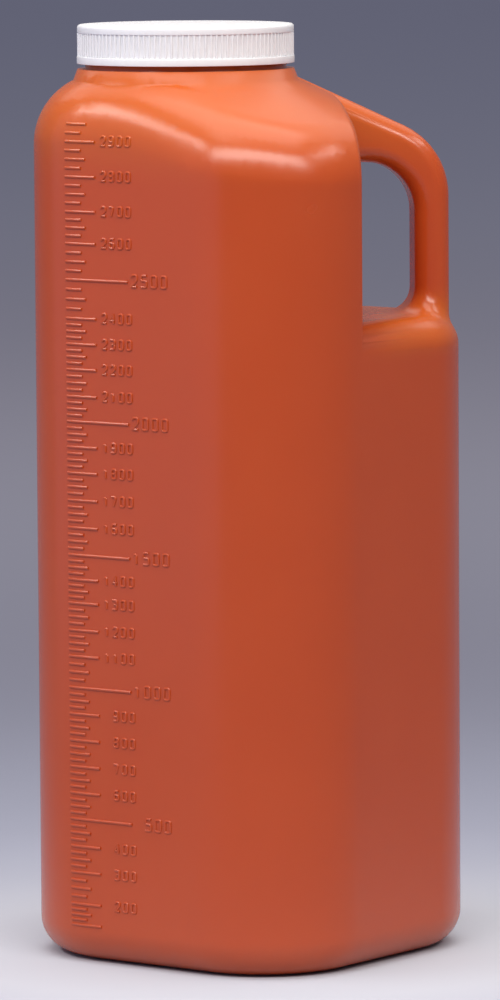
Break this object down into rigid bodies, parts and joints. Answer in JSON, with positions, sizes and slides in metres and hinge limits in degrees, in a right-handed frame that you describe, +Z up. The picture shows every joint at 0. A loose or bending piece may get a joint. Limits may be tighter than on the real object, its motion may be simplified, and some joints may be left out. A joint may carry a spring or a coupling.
{
  "type": "24-hour specimen container",
  "caption": "Square blow-moulded collection jug with a hollow corner handle, a volume scale on one side and a wide neck closed by a ribbed screw cap.",
  "frame": {"origin": "centre of the base, on the surface that the jug stands on", "axes": "+Z up along the jug's height; the XZ plane is the mould's parting plane and mirror plane, with +X towards the handle and the neck set off towards -X; the four flat sides stand at 45 degrees to X and Y, and the graduated side faces (-X, -Y)"},
  "size_m": [0.1338, 0.1338, 0.2923],
  "materials": {
    "bottle_plastic": "moulded amber-orange polyethylene, satin",
    "cap_plastic": "moulded white polypropylene",
    "liner_foam": "white closed-cell foam"
  },
  "bodies": {
    "bottle": {"bottle": "bottle_plastic"},
    "liner": {"cap_liner": "liner_foam"},
    "cap": {"cap": "cap_plastic"}
  },
  "joints": [
    {"name": "cap_rise", "type": "slide", "parent": "bottle", "child": "liner", "axis": [0, 0, 1], "range_m": [0, 0.0127]},
    {"name": "cap_turn", "type": "hinge", "parent": "liner", "child": "cap", "pos_m": [-0.019, 0, 0.2861], "axis": [0, 0, 1], "range_deg": [0, 1080]}
  ],
  "couplings": [
    {"joint": "cap_rise", "follows": "cap_turn", "m_per_rad": 0.00067375}
  ]
}
